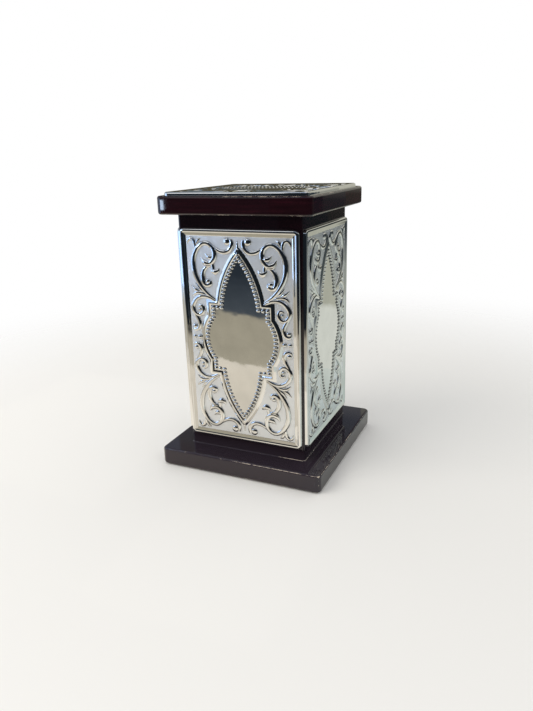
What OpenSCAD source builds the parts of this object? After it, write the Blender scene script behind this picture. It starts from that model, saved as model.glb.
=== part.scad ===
// Tzedakah box: a square lacquered wooden case on a wide base, with a lift-off lid,
// a coin slot, and stamped metal plaques on the four sides and on the lid.
// Millimetres, +Z up. The origin is the middle of the underside, and the front faces -Y.

/* [Case] */
// Outside width and depth of the four-walled case
body_side = 66.5; // [60:0.5:72]
// Height of the case walls
body_h = 125; // [115:1:140]
// Thickness of each wall board
wall_t = 6; // [5:0.5:7]
// Radius of the case's four upright edges
corner_r = 1.2; // [0.4:0.1:2]

/* [Base] */
// How far the base board stands out past the case
base_overhang = 12.75; // [8:0.25:18]
// Thickness of the base board
base_t = 9.5; // [8:0.5:14]
// Thickness of the floor board inside the case
floor_t = 9; // [8:0.5:12]
// Thickness of the felt sheet under the base
felt_t = 0.5; // [0.4:0.1:2]
// How far the felt stays back from the edge of the base
felt_inset = 3; // [2:0.5:8]

/* [Lid] */
// How far the lid board stands out past the case
lid_overhang = 7.5; // [5.5:0.5:12]
// Thickness of the lid board
lid_t = 9; // [8:0.5:14]
// Thickness of the locating board under the lid
locator_t = 9; // [6:0.5:12]
// Gap between the locating board and each wall
locator_gap = 0.3; // [0.2:0.05:0.6]
// Chamfer that leads the locating board into the case
locator_chamfer = 1; // [0.5:0.1:2]
// Rounding of the edges of the lid and base boards
edge_r = 1.2; // [0.8:0.1:1.8]
// Radius of the upright corners of the lid and base boards
board_corner_r = 3; // [1.9:0.1:4]

/* [Coin slot] */
// Length of the coin slot
slot_len = 40; // [34:1:42]
// Width of the coin slot
slot_w = 5; // [4.6:0.1:6]

/* [Plaques] */
// Bare wood left beside a side plaque
plaque_side_margin = 1; // [0.6:0.1:3]
// Bare wood left above and below a side plaque
plaque_end_margin = 6.75; // [5:0.25:10]
// Bare wood left round the lid plaque
lid_plaque_margin = 2.75; // [2:0.25:5]
// Width of the raised rim of a plaque
rim_w = 3.2; // [2.8:0.1:3.6]
// Height of the rim's crest above the wood
rim_h = 1.7; // [1.4:0.1:2]
// Distance from the plaque's edge to the rim's crest
crest_in = 1.6; // [1.3:0.1:1.9]
// Width of the flat on the rim's crest
crest_w = 0.4; // [0.2:0.1:0.6]
// Height of the upright edge at the foot of the rim
foot_h = 0.5; // [0.3:0.1:0.8]
// Height of the flat ground of a plaque above the wood
ground_h = 1; // [0.8:0.1:1.2]
// Thickness of the metal sheet at the ground
sheet_t = 0.4; // [0.3:0.05:0.6]
// Plan radius that the crest of the rim turns at the corners
rim_turn_r = 1; // [0.4:0.1:1.4]
// Gap between the foam tape and the inside of the rim
tape_gap = 1; // [0.5:0.1:3]

/* [Medallion] */
// Width of the medallion's raised outline
ridge_w = 2.6; // [2:0.1:3]
// Height of the medallion's raised outline above the ground
ridge_h = 0.7; // [0.4:0.1:1]
// Height of the medallion's polished field above the ground
field_h = 0.2; // [0.1:0.05:0.3]
// Gap from the medallion's tip to the rim
tip_gap = 6.9; // [5.5:0.1:9]
// Gap from the medallion's belly to the rim
belly_gap = 7.5; // [6:0.1:8.5]
// Half the width of the medallion at its square shoulders
shoulder_half_w = 17.5; // [16:0.1:18]
// Half the height of the medallion at its square shoulders
shoulder_half_h = 18.8; // [16:0.1:20]
// Half the height of the belly where it leaves the shoulders' sides
belly_half_h = 11.8; // [10:0.1:13]
// Half the width of the pointed arch where it leaves the shoulders
neck_half_w = 12.2; // [11.5:0.1:14]
// Diameter of a bead
bead_d = 1.5; // [1.1:0.1:1.7]
// Height of a bead above the field
bead_h = 0.5; // [0.3:0.05:0.7]
// Distance between neighbouring beads
bead_pitch = 2.05; // [1.9:0.05:3]
// Distance from the middle of the outline to the middle of the bead row
bead_inset = 2.5; // [2.2:0.1:3]

/* [Scrolls] */
// Height of the scrolls above the ground
scroll_h = 0.8; // [0.4:0.1:1]
// Height of the largest ball ends above the ground
ball_h = 1; // [0.6:0.1:1.2]
// Height of the small ball ends as a share of their radius
ball_rise = 0.75; // [0.5:0.05:0.9]
// Width of the lip round the coin slot
slot_lip_w = 1.6; // [1:0.1:2.2]
// Distance from the coin slot's edge to the outline round it
slot_ridge_gap = 5.4; // [4.8:0.1:6]

/* [Screws] */
// Shank diameter of the wood screws
screw_d = 3; // [2.5:0.1:3.5]
// Head diameter of the wood screws
screw_head_d = 6; // [5.5:0.1:7]
// How far the screws bite into the second board
screw_bite = 6; // [4:0.5:7]
// Clearance round the screws
screw_fit = 0.05; // [0.03:0.01:0.1]
// Distance from a screw's axis to the edge of the inner board
screw_edge = 10; // [8:0.5:12]

/* [Hidden] */
$fn = 48;

base_side = body_side + 2 * base_overhang;
lid_side = body_side + 2 * lid_overhang;
inside = body_side - 2 * wall_t;
locator_side = inside - 2 * locator_gap;

base_z = felt_t;
body_z = base_z + base_t;
lid_z = body_z + body_h;
top_z = lid_z + lid_t;

plaque_w = body_side - 2 * plaque_side_margin;
plaque_h = body_h - 2 * plaque_end_margin;
plaque_z = body_z + body_h / 2;
lid_plaque_side = lid_side - 2 * lid_plaque_margin;

// The hollow behind the sheet, which the foam tape fills.
hollow_h = ground_h - sheet_t;
// How deep the relief is rooted in the sheet that carries it.
root = sheet_t / 2;

// Half sizes of the ground inside the rim of a side plaque and of the lid plaque
side_half = [plaque_w / 2 - rim_w, plaque_h / 2 - rim_w];
lid_half = lid_plaque_side / 2 - rim_w;

// The medallion: two pointed arches over square shoulders, with a round belly each side.
tip_y = side_half.y - tip_gap;
arch_rise = tip_y - shoulder_half_h;
arch_r = (arch_rise * arch_rise + neck_half_w * neck_half_w) / (2 * neck_half_w);
arch_x = arch_r - neck_half_w;
belly_x = side_half.x - belly_gap;
belly_c = (pow(belly_x, 2) - pow(shoulder_half_w, 2) - pow(belly_half_h, 2))
          / (2 * (belly_x - shoulder_half_w));
belly_r = belly_x - belly_c;

// The scrolls of one quarter of a side plaque, from its middle, drawn for a ground of this
// half size. Each point is [across, up, half width], and each ball is [across, up, radius].
drawn_half = [28.65, 51.65];
SCROLLS = [
    // Main stem, which curls over at the top and ends in a leaf
    [[13.6, 20.2, .5], [17.5, 22.6, .85], [20.7, 25.4, .95], [23.2, 28.7, 1.05], [25, 32.5, 1.1],
     [25.7, 36.5, 1.15], [25.4, 40.5, 1.15], [23.9, 44, 1.1], [21.3, 46.9, 1.05], [17.9, 48.3, 1.05],
     [14.9, 47.2, 1.05], [13.2, 44.8, 1.1], [13, 42.2, 1.15], [14.2, 39.6, 1.35], [16.4, 38.3, 1.45],
     [18.6, 38.8, 1.15], [20.7, 41.1, .25]],
    // Hook at the head of the plaque
    [[13.4, 46.6, .6], [11.2, 45.1, .85], [8.7, 44.2, 1], [6, 44.4, 1.05], [4, 46, 1.05],
     [3.1, 48.2, 1], [3.5, 50.3, .7]],
    // Small leaf inside the curl
    [[13.6, 42.2, .6], [14.9, 41.4, .95], [16.3, 41.6, .9], [18, 43, .2]],
    // Short hook under the curl, with its cup
    [[14.6, 38.9, .5], [14.2, 37.3, .75], [14, 35.4, .7]],
    [[15.5, 36, .2], [14.3, 34.8, .9], [12.9, 34.3, 1.15], [11.6, 34.8, .9], [10.6, 35.9, .3]],
    // Long hook under the curl
    [[15.5, 37.7, .5], [17.6, 36.6, .85], [19.3, 34.9, 1], [20.2, 32.6, 1.1], [20.2, 30.3, 1.15],
     [19.6, 28.4, 1.3], [18, 27.4, 1.4], [16.3, 28.1, 1.1], [15.7, 29.8, .4]],
    // Sprig in the corner
    [[24.1, 46.6, .6], [24.3, 48.5, .7], [25.2, 50, .7], [26.4, 50.5, .65], [27.5, 49.6, .55], [28, 48, .2]],
    [[20.6, 50.4, .25], [21.9, 49.8, .6], [22.8, 48.4, .5], [23.2, 47, .3]],
    // Leaves where the two stems part
    [[19.4, 23.4, .35], [22, 25.2, .75], [24.6, 28, .2]],
    [[21.6, 23.4, .4], [24.5, 24.8, .8], [27.1, 27, .2]],
    [[18.7, 22.2, .5], [21.6, 23.2, .8], [24.5, 23.1, .85], [26.8, 21.4, .25]],
    // Side stem, which ends in a spiral
    [[13.4, 19.2, .5], [16.5, 20.9, .8], [20.2, 21.6, .95], [23.6, 20.6, 1], [26, 18.2, 1.05],
     [26.9, 15.6, 1], [25.8, 13, .95], [23.6, 11.9, .95], [21.6, 12.9, .95], [21, 15, .9],
     [22.1, 16.7, .75], [23.8, 16.2, .45]],
    // Tail of the side stem
    [[27.2, 14.6, .5], [26, 12.6, .75], [24.8, 10.5, .85], [23.7, 8.2, .95], [23.7, 6, 1],
     [25, 4.1, 1], [26.7, 3.9, .75], [27.8, 5.2, .3]],
];
BALLS = [[5.5, 49.5, 1.8], [17.3, 29.4, 1.3], [23, 14.6, .9], [26.3, 5.7, 1.25]];
// Spike above the medallion, and the pair of balls beside its belly
SPIKE = [[0, 43.4, 2], [0, 45.2, 1.3], [0, 46.8, .8], [0, 48.5, .5], [0, 50.3, .2]];
SIDE_BALLS = [[23.9, 0, 1.3], [26.8, 0, 1.1]];
// The lid plaque repeats the first strokes and balls, laid over into its corners. They are
// drawn for this half size, and moved by this much once across and up have changed places.
lid_drawn_half = 33.15;
lid_move = [-18.5, 4.5];
lid_scrolls = 11;
lid_balls = 2;

// Points of a smooth curve through the points of a stroke
stroke_steps = 2;
function curve_point(p, i, t) =
    let (a = p[max(i - 1, 0)], b = p[i], c = p[i + 1], d = p[min(i + 2, len(p) - 1)])
    (2 * b + (c - a) * t + (2 * a - 5 * b + 4 * c - d) * t * t
     + (3 * b - a - 3 * c + d) * t * t * t) / 2;
function curve(p) =
    [for (i = [0 : len(p) - 2]) for (k = [0 : stroke_steps - 1]) curve_point(p, i, k / stroke_steps),
     p[len(p) - 1]];

// One edge of a stroke, half a width to the side of its curve
function edge(c, side) =
    [for (i = [0 : len(c) - 1])
        let (run = c[min(i + 1, len(c) - 1)] - c[max(i - 1, 0)],
             step = side * c[i].z / norm([run.x, run.y]))
        [c[i].x - run.y * step, c[i].y + run.x * step]];
function reversed(list) = [for (i = [len(list) - 1 : -1 : 0]) list[i]];

// Where a drawn point lies on a side plaque, and on the lid plaque
function on_side(p) = [p.x * side_half.x / drawn_half.x, p.y * side_half.y / drawn_half.y, p.z];
function on_lid(p) =
    let (fit = lid_half / lid_drawn_half)
    [(p.y + lid_move.x) * fit, (p.x + lid_move.y) * fit, p.z];

// Places at an even pitch along a line or an arc, without its start
function places(length) =
    let (count = max(1, round(length / bead_pitch))) [for (i = [1 : count]) i / count];
function bead_line(from, to) = [for (s = places(norm(to - from))) from + (to - from) * s];
function bead_arc(centre, r, from, to) =
    [for (s = places(abs(to - from) * r * PI / 180))
        let (a = from + (to - from) * s) centre + r * [cos(a), sin(a)]];

// The bead row of one quarter of the medallion, from the tip to the belly
bead_arch_r = arch_r - bead_inset;
bead_belly_r = belly_r - bead_inset;
bead_tip_a = acos(arch_x / bead_arch_r);
bead_neck_a = -asin(bead_inset / bead_arch_r);
bead_neck = [bead_arch_r * cos(bead_neck_a) - arch_x, shoulder_half_h - bead_inset];
bead_corner = [shoulder_half_w - bead_inset, bead_neck.y];
bead_belly_a = acos((bead_corner.x - belly_c) / bead_belly_r);
bead_waist = [bead_corner.x, bead_belly_r * sin(bead_belly_a)];
bead_tip = [0, shoulder_half_h + bead_arch_r * sin(bead_tip_a)];
belly_beads = bead_arc([belly_c, 0], bead_belly_r, bead_belly_a, 0);
QUARTER_BEADS = concat(
    bead_arc([-arch_x, shoulder_half_h], bead_arch_r, bead_tip_a, bead_neck_a),
    bead_line(bead_neck, bead_corner),
    bead_line(bead_corner, bead_waist),
    [for (i = [0 : len(belly_beads) - 2]) belly_beads[i]]
);
belly_bead = belly_beads[len(belly_beads) - 1];

// The bead row of one half of the lip round the coin slot
slot_straight = slot_len - slot_w;
slot_bead_r = (slot_w + slot_lip_w + slot_ridge_gap) / 2;
SLOT_BEADS = concat(
    bead_line([-slot_straight / 2, slot_bead_r], [slot_straight / 2, slot_bead_r]),
    bead_arc([slot_straight / 2, 0], slot_bead_r, 90, -90)
);

lacquer = "#3a1218";
bare_wood = "#6b4a34";
silver = "#c9cbcc";
foam = "#e6e2d8";
zinc = "#9a9c9f";
felt = "#1c1c20";

// Flat shapes

module rounded_rect(w, h, r) {
    square([w, h - 2 * r], center = true);
    square([w - 2 * r, h], center = true);
    for (x = [-1, 1], y = [-1, 1])
        translate([x * (w / 2 - r), y * (h / 2 - r)]) circle(r);
}

module slot_shape(grow = 0) {
    square([slot_straight, slot_w + 2 * grow], center = true);
    for (x = [-1, 1])
        translate([x * slot_straight / 2, 0]) circle(slot_w / 2 + grow);
}

// The coin slot through a thickness above z = 0, cut well past both faces.
module slot_cut(t) {
    translate([0, 0, -slot_w]) linear_extrude(t + 2 * slot_w) slot_shape();
}

module medallion_shape(grow = 0) {
    square(2 * [shoulder_half_w + grow, shoulder_half_h + grow], center = true);
    // Of a belly's circle, only the part on its own side counts, however flat the belly is.
    for (x = [-1, 1])
        intersection() {
            translate([x * belly_c, 0]) circle(belly_r + grow);
            translate([x * belly_x, 0]) square(2 * [belly_x, shoulder_half_h], center = true);
        }
    for (y = [-1, 1])
        intersection_for(x = [-1, 1])
            translate([x * arch_x, y * shoulder_half_h]) circle(arch_r + grow);
}

module stroke_shape(points) {
    c = curve(points);
    polygon(concat(edge(c, 1), reversed(edge(c, -1))));
}

// Placing

module four_ways() {
    for (x = [0, 1], y = [0, 1])
        mirror([x, 0, 0]) mirror([0, y, 0]) children();
}

module ends() {
    for (y = [0, 1]) mirror([0, y, 0]) children();
}

module sides() {
    for (x = [0, 1]) mirror([x, 0, 0]) children();
}

// Turns what is built for the front to another side of the case.
module on_case(turn) {
    rotate(turn) translate([0, -body_side / 2, plaque_z]) rotate([90, 0, 0]) children();
}

// Boards

// A square board whose edges and corners are rounded, standing on z = 0.
module rounded_board(side, t) {
    intersection() {
        linear_extrude(t) rounded_rect(side, side, board_corner_r);
        for (turn = [0, 90])
            rotate([90, 0, turn]) translate([0, t / 2, -side / 2])
                linear_extrude(side) rounded_rect(side, t, edge_r);
    }
}

// A square board with chamfered lower edges, standing on z = 0.
module chamfered_board(side, t, chamfer) {
    half = side / 2;
    intersection_for(turn = [0, 90])
        rotate([90, 0, turn]) translate([0, 0, -half])
            linear_extrude(side)
                polygon([[chamfer - half, 0], [half - chamfer, 0], [half, chamfer],
                         [half, t], [-half, t], [-half, chamfer]]);
}

// One wall of the case, mitred at both ends.
module wall(turn) {
    half = body_side / 2;
    color(lacquer)
        rotate(turn) translate([0, 0, body_z])
            linear_extrude(body_h)
                intersection() {
                    rounded_rect(body_side, body_side, corner_r);
                    polygon([[-half, -half], [half, -half], [half - wall_t, wall_t - half],
                             [wall_t - half, wall_t - half]]);
                }
}

// Screws

// A countersunk wood screw, point up, whose head is flush with z = 0.
module screw(length, grow = 0) {
    head_r = screw_head_d / 2 + grow;
    shank_r = screw_d / 2 + grow;
    rotate_extrude()
        polygon([[0, 0], [head_r, 0], [shank_r, head_r - shank_r], [shank_r, length - shank_r],
                 [0, length]]);
}

// Four screws that pass through one board and bite into the next, or the holes for them.
module screw_group(through_t, grow = 0) {
    reach = inside / 2 - screw_edge;
    for (x = [-1, 1], y = [-1, 1])
        translate([x * reach, y * reach, 0]) screw(through_t + screw_bite + grow, grow);
}

// Plaques, lying face up on z = 0

// A spherical cap of a given foot radius and height
module cap(r, h) {
    sphere_r = (r * r + h * h) / (2 * h);
    rotate_extrude()
        intersection() {
            translate([0, h - sphere_r]) circle(sphere_r);
            square([r, h]);
        }
}

// Section of the rim, with its crest at x = 0 and the plaque's edge on the right: a short
// upright foot, a steep flank, a narrow crest and a long slope down to the ground.
module rim_section() {
    polygon([[crest_in, 0], [crest_in, foot_h], [crest_w / 2, rim_h], [-crest_w / 2, rim_h],
             [crest_in - rim_w, ground_h], [crest_in - rim_w, 0]]);
}

module rim_rod(length) {
    rotate([90, 0, 90]) translate([0, 0, -length / 2])
        linear_extrude(length) rim_section();
}

module rim(w, h) {
    crest = [w / 2 - crest_in, h / 2 - crest_in];
    turn = [crest.x - rim_turn_r, crest.y - rim_turn_r];
    ends() translate([0, crest.y, 0]) rim_rod(2 * turn.x);
    sides() translate([crest.x, 0, 0]) rotate(-90) rim_rod(2 * turn.y);
    four_ways()
        translate([turn.x, turn.y, 0])
            rotate_extrude(angle = 90)
                intersection() {
                    translate([rim_turn_r, 0]) rim_section();
                    square([rim_turn_r + crest_in, rim_h]);
                }
}

// The formed sheet: a raised rim round a flat ground, hollow behind.
module tray(w, h) {
    difference() {
        union() {
            rim(w, h);
            linear_extrude(ground_h) square([w - 2 * crest_in, h - 2 * crest_in], center = true);
        }
        translate([0, 0, -rim_h])
            linear_extrude(rim_h + hollow_h)
                square([w - 2 * rim_w, h - 2 * rim_w], center = true);
    }
}

// Raises a flat shape from the ground.
module raised(h) {
    translate([0, 0, ground_h - root]) linear_extrude(root + h) children();
}

module ball(p) {
    translate([p.x, p.y, ground_h - root]) cap(p.z, root + min(ball_h, ball_rise * p.z));
}

module bead(p) {
    translate([p.x, p.y, ground_h + field_h - root]) cap(bead_d / 2, root + bead_h);
}

module side_sheet() {
    tray(plaque_w, plaque_h);
    raised(field_h) medallion_shape();
    raised(ridge_h)
        difference() {
            medallion_shape(ridge_w / 2);
            medallion_shape(-ridge_w / 2);
        }
    raised(scroll_h) {
        four_ways()
            for (points = SCROLLS) stroke_shape([for (p = points) on_side(p)]);
        ends() stroke_shape([for (p = SPIKE) on_side(p)]);
    }
    four_ways() {
        for (p = BALLS) ball(on_side(p));
        for (p = QUARTER_BEADS) bead(p);
    }
    sides() {
        for (p = SIDE_BALLS) ball(on_side(p));
        bead(belly_bead);
    }
    ends() bead(bead_tip);
}

module lid_sheet() {
    difference() {
        union() {
            tray(lid_plaque_side, lid_plaque_side);
            raised(field_h) slot_shape(slot_ridge_gap);
            raised(ridge_h) {
                slot_shape(slot_lip_w);
                difference() {
                    slot_shape(slot_ridge_gap + ridge_w);
                    slot_shape(slot_ridge_gap);
                }
            }
            raised(scroll_h)
                four_ways()
                    for (i = [0 : lid_scrolls - 1]) stroke_shape([for (p = SCROLLS[i]) on_lid(p)]);
            four_ways()
                for (i = [0 : lid_balls - 1]) ball(on_lid(BALLS[i]));
            for (turn = [0, 180]) rotate(turn)
                for (p = SLOT_BEADS) bead(p);
        }
        slot_cut(2 * rim_h);
    }
}

module tape_shape(w, h) {
    margin = rim_w + tape_gap;
    square([w - 2 * margin, h - 2 * margin], center = true);
}

// Sub-parts of the case

module base_felt() {
    side = base_side - 2 * felt_inset;
    color(felt) linear_extrude(felt_t) rounded_rect(side, side, board_corner_r);
}

module base_board() {
    color(lacquer) translate([0, 0, base_z])
        difference() {
            rounded_board(base_side, base_t);
            screw_group(base_t, screw_fit);
        }
}

module base_screws() {
    color(zinc) translate([0, 0, base_z]) screw_group(base_t);
}

module floor_board() {
    color(bare_wood) translate([0, 0, body_z])
        difference() {
            linear_extrude(floor_t) square(inside, center = true);
            translate([0, 0, -base_t]) screw_group(base_t, screw_fit);
        }
}

module front_wall() wall(0);
module right_wall() wall(90);
module back_wall() wall(180);
module left_wall() wall(270);

module side_plaque(turn) {
    color(silver) on_case(turn) side_sheet();
}

module front_plaque() side_plaque(0);
module right_plaque() side_plaque(90);
module back_plaque() side_plaque(180);
module left_plaque() side_plaque(270);

module side_tape(turn) {
    color(foam) on_case(turn) linear_extrude(hollow_h) tape_shape(plaque_w, plaque_h);
}

module front_tape() side_tape(0);
module right_tape() side_tape(90);
module back_tape() side_tape(180);
module left_tape() side_tape(270);

// Sub-parts of the lid

module lid_board() {
    color(lacquer) translate([0, 0, lid_z])
        difference() {
            rounded_board(lid_side, lid_t);
            slot_cut(lid_t);
            translate([0, 0, -locator_t]) screw_group(locator_t, screw_fit);
        }
}

module lid_locator() {
    color(bare_wood) translate([0, 0, lid_z - locator_t])
        difference() {
            chamfered_board(locator_side, locator_t, locator_chamfer);
            slot_cut(locator_t);
            screw_group(locator_t, screw_fit);
        }
}

module lid_screws() {
    color(zinc) translate([0, 0, lid_z - locator_t]) screw_group(locator_t);
}

module lid_plaque() {
    color(silver) translate([0, 0, top_z]) lid_sheet();
}

module lid_tape() {
    color(foam) translate([0, 0, top_z])
        linear_extrude(hollow_h)
            difference() {
                tape_shape(lid_plaque_side, lid_plaque_side);
                slot_shape(tape_gap);
            }
}

base_felt();
base_board();
base_screws();
floor_board();
front_wall();
right_wall();
back_wall();
left_wall();
front_plaque();
right_plaque();
back_plaque();
left_plaque();
front_tape();
right_tape();
back_tape();
left_tape();
lid_board();
lid_locator();
lid_screws();
lid_plaque();
lid_tape();
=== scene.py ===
import math

import bmesh
import bpy
from mathutils import Matrix, Vector


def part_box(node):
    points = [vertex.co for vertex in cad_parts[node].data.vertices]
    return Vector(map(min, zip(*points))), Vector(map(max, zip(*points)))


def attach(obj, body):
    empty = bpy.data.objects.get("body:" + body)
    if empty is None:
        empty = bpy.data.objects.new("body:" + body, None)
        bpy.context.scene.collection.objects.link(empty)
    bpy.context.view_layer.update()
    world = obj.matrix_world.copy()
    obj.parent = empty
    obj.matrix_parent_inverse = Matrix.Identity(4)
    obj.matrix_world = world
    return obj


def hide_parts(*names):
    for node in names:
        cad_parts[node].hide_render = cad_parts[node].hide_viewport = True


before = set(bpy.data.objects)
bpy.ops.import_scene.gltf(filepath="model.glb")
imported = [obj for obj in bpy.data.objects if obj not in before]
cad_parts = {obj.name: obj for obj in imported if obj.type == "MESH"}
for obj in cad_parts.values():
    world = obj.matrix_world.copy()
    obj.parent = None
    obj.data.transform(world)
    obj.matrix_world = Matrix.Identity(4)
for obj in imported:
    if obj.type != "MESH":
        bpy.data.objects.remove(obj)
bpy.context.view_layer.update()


# Felt pad. A die-cut sheet of pressed black wool felt, glued under the base board over the
# screw heads, so that the box stands softly on a table.
MM = 0.001


def linear(hex_colour):
    """An sRGB hex colour as linear RGBA."""
    channels = [int(hex_colour[i:i + 2], 16) / 255 for i in (1, 3, 5)]
    return [c / 12.92 if c <= 0.04045 else ((c + 0.055) / 1.055) ** 2.4 for c in channels] + [1]


def per_mm(size):
    """The texture scale that makes a feature about this many millimetres wide."""
    return 1 / (size * MM)


def add(tree, kind, sockets=None, **settings):
    """Adds a node, sets its settings, and sets or links its input sockets."""
    made = tree.nodes.new("ShaderNode" + kind)
    for name, value in settings.items():
        setattr(made, name, value)
    for name, value in (sockets or {}).items():
        if isinstance(value, bpy.types.NodeSocket):
            tree.links.new(value, made.inputs[name])
        else:
            made.inputs[name].default_value = value
    return made


def new_material(name):
    """An empty material, with its node tree and the piece's own coordinates."""
    material = bpy.data.materials.new(name)
    material.use_nodes = True
    tree = material.node_tree
    tree.nodes.clear()
    place = add(tree, "TexCoord").outputs["Object"]
    return material, tree, place


def set_ramp(ramp, stops):
    """Gives a colour ramp these (position, hex colour) stops."""
    elements = ramp.color_ramp.elements
    while len(elements) < len(stops):
        elements.new(1)
    for element, (position, hex_colour) in zip(elements, stops):
        element.position = position
        element.color = linear(hex_colour)


def surface(tree, shader):
    """Ends a material in this shader."""
    add(tree, "OutputMaterial", {"Surface": shader.outputs[0]})


def dress(node, material):
    """Gives a CAD node its finish."""
    node.data.materials.clear()
    node.data.materials.append(material)


# Pressed felt: matted fibres about 0.4 mm across, which scatter light softly.
pressed_felt, tree, place = new_material("pressed_felt")
fibres = add(tree, "TexNoise", {"Vector": place, "Scale": per_mm(0.4), "Detail": 4})
shade = add(tree, "ValToRGB", {"Fac": fibres.outputs["Fac"]})
set_ramp(shade, [(0.3, "#0d0d10"), (0.7, "#2a2a30")])
nap = add(tree, "Bump", {"Height": fibres.outputs["Fac"], "Strength": 0.6, "Distance": 0.2 * MM})
surface(tree, add(tree, "BsdfPrincipled", {
    "Base Color": shade.outputs["Color"], "Roughness": 0.95, "Sheen Weight": 0.3,
    "Normal": nap.outputs["Normal"]}))
dress(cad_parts["base_felt"], pressed_felt)


# Base board. A square of 9.5 mm board with rounded edges, stained dark red-brown and finished in
# polished piano lacquer. The corners and the top edge have been knocked in use.
BOARD_EDGE_R = 1.2 * MM
BOARD_CORNER_R = 3 * MM
SHARP_ANGLE = math.radians(35)

# Wear starts where no component of a vertex's normal is over the first value, so that flat faces
# stay whole. The second sets how fast it grows from there.
WEAR_FROM = 0.97
WEAR_GAIN = 4

# Where the wood has been knocked most, how far from there chips are common and how much more so:
# the front corner of the base, and the foot of the front wall behind it.
KNOCKS = [(Vector((30, -45, 10)) * MM, 75 * MM, 0.2), (Vector((27, -34, 10.4)) * MM, 11 * MM, 0.5)]

# The lacquer is painted lighter and greyer near the foot: the grey starts at the first height and
# is full at the second.
GREYING_FROM = 20 * MM
GREYING_FULL = 10 * MM


def soften(bm):
    """Shades smooth, but keeps sharp edges crisp."""
    for face in bm.faces:
        face.smooth = True
    for edge in bm.edges:
        edge.smooth = len(edge.link_faces) == 2 and edge.calc_face_angle(0) < SHARP_ANGLE


def mark_wear(bm):
    """Stores on each vertex how far it lies on a rounded edge, where lacquer chips first."""
    wear = bm.verts.layers.float.new("edge_wear")
    bm.normal_update()
    for vert in bm.verts:
        flatness = max(abs(c) for c in vert.normal)
        cut = any(e.calc_face_angle(0) > SHARP_ANGLE for e in vert.link_edges)
        vert[wear] = 0 if cut else min(max((WEAR_FROM - flatness) * WEAR_GAIN, 0), 1)


def place_piece(bm, name, body, nodes, materials):
    """Turns a finished bmesh into a piece that stands for CAD nodes and rides on their body."""
    mesh = bpy.data.meshes.new(name)
    bm.to_mesh(mesh)
    bm.free()
    for material in materials:
        mesh.materials.append(material)
    piece = bpy.data.objects.new(name, mesh)
    bpy.context.scene.collection.objects.link(piece)
    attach(piece, body)
    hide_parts(*nodes)
    return piece


def keep_flats_flat(piece):
    """Lets the large flat faces set the normals, so that only the rounded edges look round."""
    piece.modifiers.new("flat faces", "WEIGHTED_NORMAL").keep_sharp = True


def level_edges(bm, heights):
    """The edges that lie level at one of these heights, on the boundary of a level face."""
    found = []
    for edge in bm.edges:
        flat = [abs(face.normal.z) > 0.9 for face in edge.link_faces]
        level = all(any(abs(v.co.z - z) < 1e-6 for z in heights) for v in edge.verts)
        if level and sum(flat) == 1:
            found.append(edge)
    return found


def round_edges(bm, edges, radius, segments):
    """Rounds these edges, or chamfers them where there is one segment."""
    bmesh.ops.bevel(bm, geom=edges, offset=radius, offset_type="OFFSET", segments=segments,
                    profile=0.5, affect="EDGES", material=-1)


def square_block(low, high):
    """A plain block between two corners."""
    bm = bmesh.new()
    size = high - low
    bmesh.ops.create_cube(bm, size=1, matrix=Matrix.Translation((low + high) / 2)
                          @ Matrix.Diagonal((*size, 1)))
    return bm


def upright_edges(bm):
    """The edges that don't lie level."""
    return [e for e in bm.edges if abs(e.verts[0].co.z - e.verts[1].co.z) > 1e-6]


# Piano lacquer over dark mahogany stain: a clear, mirror-like coat, slightly wavy as polished
# lacquer is, over a colour that is almost black. Chips on the edges show the pale board.
def lacquered(name, stains):
    """The lacquer over these tones of stain, which lie in level streaks."""
    made, tree, place = new_material(name)
    drawn_out = add(tree, "Mapping", {"Vector": place, "Scale": (0.06, 0.06, 1)})
    grain = add(tree, "TexNoise", {"Vector": drawn_out.outputs["Vector"], "Scale": per_mm(1.2),
                                   "Detail": 6, "Roughness": 0.65})
    stain = add(tree, "ValToRGB", {"Fac": grain.outputs["Fac"]})
    set_ramp(stain, list(zip((0.3, 0.55, 0.75), stains)))
    height = add(tree, "SeparateXYZ", {0: place})
    # The stain turns lighter and greyer towards the foot.
    foot_greying = add(tree, "MapRange", {"Value": height.outputs["Z"], "From Min": GREYING_FROM,
                                   "From Max": GREYING_FULL})
    greyed_stain = add(tree, "Mix", {0: foot_greying.outputs[0], 6: stain.outputs["Color"], 7: linear("#2f2830")},
               data_type="RGBA")
    worn = add(tree, "Attribute", attribute_name="edge_wear")
    ragged = add(tree, "TexNoise", {"Vector": place, "Scale": per_mm(2.2), "Detail": 6})
    patchy = add(tree, "TexNoise", {"Vector": place, "Scale": per_mm(22)})
    wear = add(tree, "Math", {0: ragged.outputs["Fac"], 1: patchy.outputs["Fac"]}, operation="ADD")
    for spot, reach, more in KNOCKS:
        far = add(tree, "VectorMath", {0: place, 1: spot}, operation="DISTANCE")
        knock = add(tree, "MapRange", {"Value": far.outputs["Value"], "From Max": reach,
                                       "To Min": more, "To Max": 0})
        wear = add(tree, "Math", {0: wear.outputs[0], 1: knock.outputs[0]}, operation="ADD")
    wear = add(tree, "Math", {0: wear.outputs[0], 1: worn.outputs["Fac"]}, operation="MULTIPLY")
    chipped = add(tree, "MapRange", {"Value": wear.outputs[0], "From Min": 1.07, "From Max": 1.12})
    colour = add(tree, "Mix", {0: chipped.outputs[0], 6: greyed_stain.outputs[2], 7: linear("#dccdb9")},
                 data_type="RGBA")
    rough = add(tree, "MapRange", {"Value": chipped.outputs[0], "To Min": 0.04, "To Max": 0.6})
    peel = add(tree, "TexNoise", {"Vector": place, "Scale": per_mm(7), "Detail": 1})
    wavy = add(tree, "Bump", {"Height": peel.outputs["Fac"], "Strength": 0.25, "Distance": 0.03 * MM})
    surface(tree, add(tree, "BsdfPrincipled", {
        "Base Color": colour.outputs[2], "Roughness": rough.outputs[0], "IOR": 1.5,
        "Normal": wavy.outputs["Normal"]}))
    return made


# Base and walls: a darker, less red stain than the lid's, painted shade beside the lid's painted light.
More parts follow.
